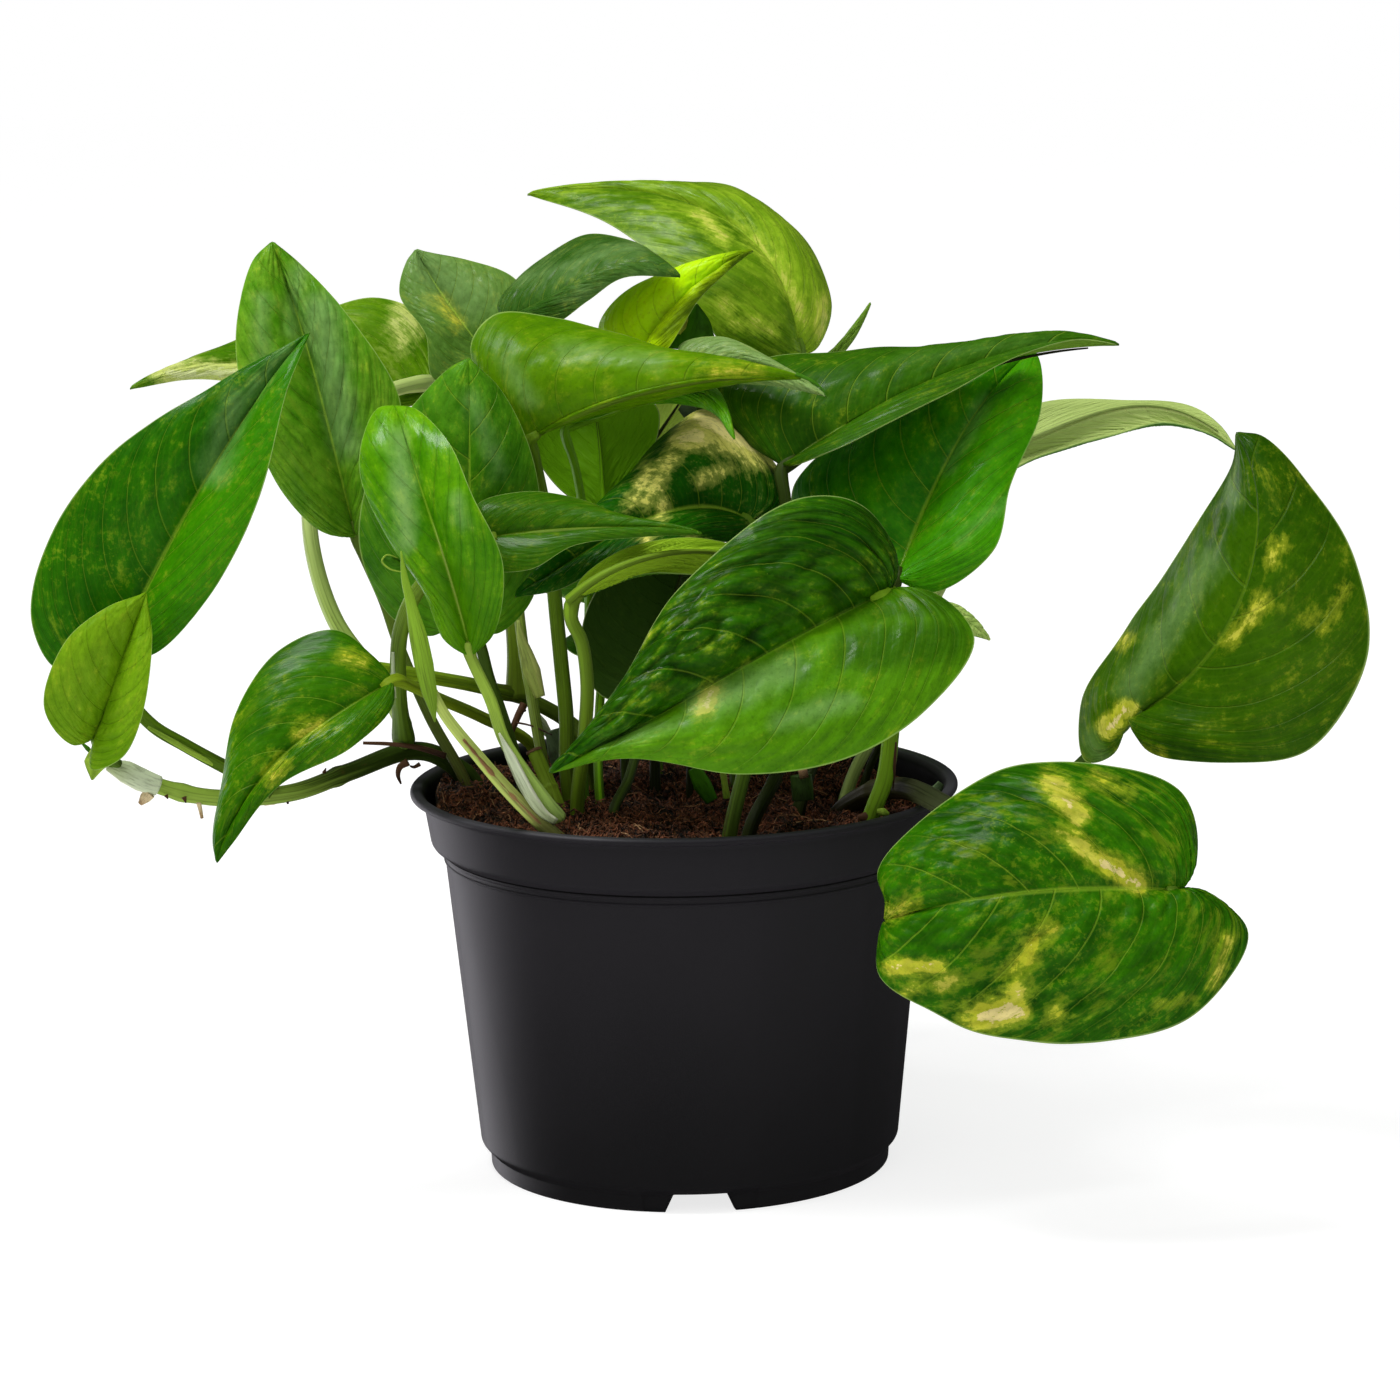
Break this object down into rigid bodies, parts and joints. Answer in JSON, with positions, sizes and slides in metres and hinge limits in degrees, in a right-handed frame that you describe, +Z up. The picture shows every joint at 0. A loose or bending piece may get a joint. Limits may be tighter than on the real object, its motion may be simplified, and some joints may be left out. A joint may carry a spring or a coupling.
{
  "type": "potted pothos plant",
  "caption": "Variegated pothos with heart-shaped leaves on long stalks and short trailing vines, rooted in soil in a black plastic nursery pot.",
  "frame": {"origin": "middle of the pot's underside, on the surface the pot stands on", "axes": "+Z up; the plant's front faces -Y; +X to the viewer's right"},
  "size_m": [0.2835, 0.1887, 0.2132],
  "materials": {
    "pot": "black injection-moulded polypropylene, satin",
    "soil": "moist coir and peat, fibrous",
    "leaf": "waxy green blade with yellow and cream variegation",
    "stem": "smooth green stalk"
  },
  "bodies": {
    "root": {"pot": "pot", "soil": "soil", "vine_left": "stem", "vine_mid": "stem", "vine_right": "stem", "shoot_front": "stem", "sheath_front": "stem", "stub_01": "stem", "vine_back": "stem", "leaf_01": "leaf", "leaf_02": "leaf", "leaf_03": "leaf", "leaf_04": "leaf", "leaf_05": "leaf", "leaf_06": "leaf", "leaf_07": "leaf", "leaf_08": "leaf", "leaf_09": "leaf", "leaf_10": "leaf", "leaf_11": "leaf", "leaf_12": "leaf", "leaf_13": "leaf", "leaf_14": "leaf", "leaf_15": "leaf", "leaf_16": "leaf", "leaf_17": "leaf", "leaf_18": "leaf", "leaf_19": "leaf", "leaf_20": "leaf", "leaf_21": "leaf", "leaf_22": "leaf", "leaf_23": "leaf", "leaf_24": "leaf", "leaf_25": "leaf", "leaf_26": "leaf", "leaf_27": "leaf", "leaf_28": "leaf", "leaf_29": "leaf", "leaf_30": "leaf", "leaf_31": "leaf", "leaf_32": "leaf", "leaf_33": "leaf", "leaf_34": "leaf"}
  },
  "joints": []
}
